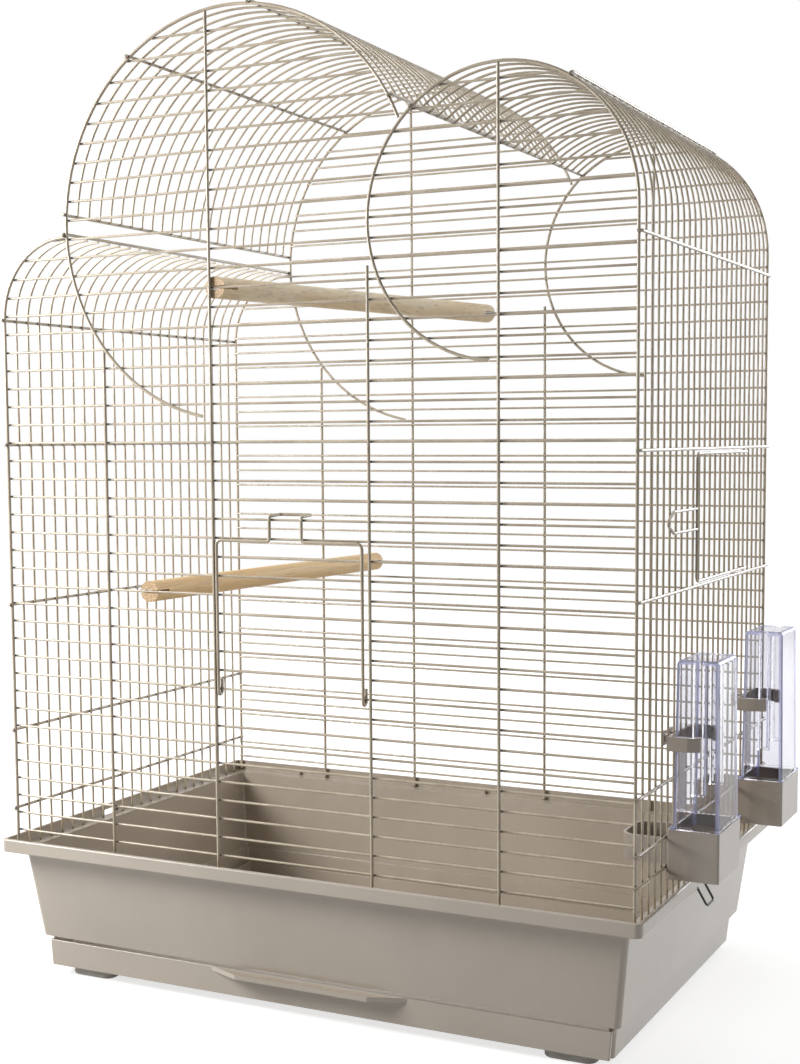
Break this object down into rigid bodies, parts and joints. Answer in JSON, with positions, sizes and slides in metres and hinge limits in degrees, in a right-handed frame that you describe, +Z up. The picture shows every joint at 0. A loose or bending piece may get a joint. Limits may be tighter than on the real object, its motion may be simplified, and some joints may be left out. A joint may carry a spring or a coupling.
{
  "type": "bird cage",
  "caption": "Tall wire bird cage with an arched roof in stepped curves, a tub base with a pull-out drawer, perches, hinged doors and clear hopper feeders that hang outside the wall.",
  "frame": {"origin": "centre of the underside of the whole part's box, on the plane that the feet stand on", "axes": "+Z up, +X to the right seen from the front door, so to the wall with the feeders, +Y from the front to the back"},
  "size_m": [0.5838, 0.356, 0.7548],
  "materials": {
    "tray_plastic": "satin taupe moulding",
    "foot_rubber": "matt pale grey pad",
    "clip_wire": "black coated wire",
    "wire_paint": "beige coated wire",
    "perch_wood": "plain turned wood",
    "feeder_plastic": "satin taupe moulding",
    "clear_plastic": "clear moulded plastic"
  },
  "bodies": {
    "tray": {"tray_tub": "tray_plastic", "tray_feet": "foot_rubber"},
    "drawer": {"drawer": "tray_plastic"},
    "cage": {"front_frame": "wire_paint", "front_wires": "wire_paint", "back_frame": "wire_paint", "back_wires": "wire_paint", "left_wall_wires": "wire_paint", "left_cross_wires": "wire_paint", "centre_roof_wires": "wire_paint", "centre_cross_wires": "wire_paint", "right_wall_wires": "wire_paint", "right_cross_wires": "wire_paint", "upper_perch": "perch_wood", "lower_perch": "perch_wood"},
    "front_door": {"front_door_frame": "wire_paint", "front_door_wires": "wire_paint"},
    "side_door": {"side_door_frame": "wire_paint", "side_door_wires": "wire_paint"},
    "front_feeder": {"front_feeder_base": "feeder_plastic", "front_feeder_bracket": "feeder_plastic"},
    "front_hopper": {"front_feeder_hopper": "clear_plastic"},
    "rear_feeder": {"rear_feeder_base": "feeder_plastic", "rear_feeder_bracket": "feeder_plastic"},
    "rear_hopper": {"rear_feeder_hopper": "clear_plastic"},
    "left_clip": {"left_tray_clip": "clip_wire"},
    "right_clip": {"right_tray_clip": "clip_wire"}
  },
  "joints": [
    {"name": "drawer_pull", "type": "slide", "parent": "tray", "child": "drawer", "axis": [0, -1, 0], "range_m": [0, 0.28]},
    {"name": "cage_lift", "type": "slide", "parent": "tray", "child": "cage", "axis": [0, 0, 1], "range_m": [0, 0.12]},
    {"name": "front_door_hinge", "type": "hinge", "parent": "cage", "child": "front_door", "pos_m": [-0.01775, -0.16385, 0.25], "axis": [1, 0, 0], "range_deg": [0, 150]},
    {"name": "side_door_hinge", "type": "hinge", "parent": "cage", "child": "side_door", "pos_m": [0.25055, 0.10237, 0.379], "axis": [0, 0, 1], "range_deg": [0, 110]},
    {"name": "front_feeder_pull", "type": "slide", "parent": "cage", "child": "front_feeder", "axis": [1, 0, 0], "range_m": [0, 0.06]},
    {"name": "front_hopper_lift", "type": "slide", "parent": "front_feeder", "child": "front_hopper", "axis": [0, 0, 1], "range_m": [0, 0.029]},
    {"name": "rear_feeder_pull", "type": "slide", "parent": "cage", "child": "rear_feeder", "axis": [1, 0, 0], "range_m": [0, 0.06]},
    {"name": "rear_hopper_lift", "type": "slide", "parent": "rear_feeder", "child": "rear_hopper", "axis": [0, 0, 1], "range_m": [0, 0.029]},
    {"name": "left_clip_swing", "type": "hinge", "parent": "tray", "child": "left_clip", "pos_m": [-0.28255, -0.0356, 0.108], "axis": [0, 1, 0], "range_deg": [0, 95]},
    {"name": "right_clip_swing", "type": "hinge", "parent": "tray", "child": "right_clip", "pos_m": [0.25705, -0.0356, 0.108], "axis": [0, -1, 0], "range_deg": [0, 95]}
  ]
}
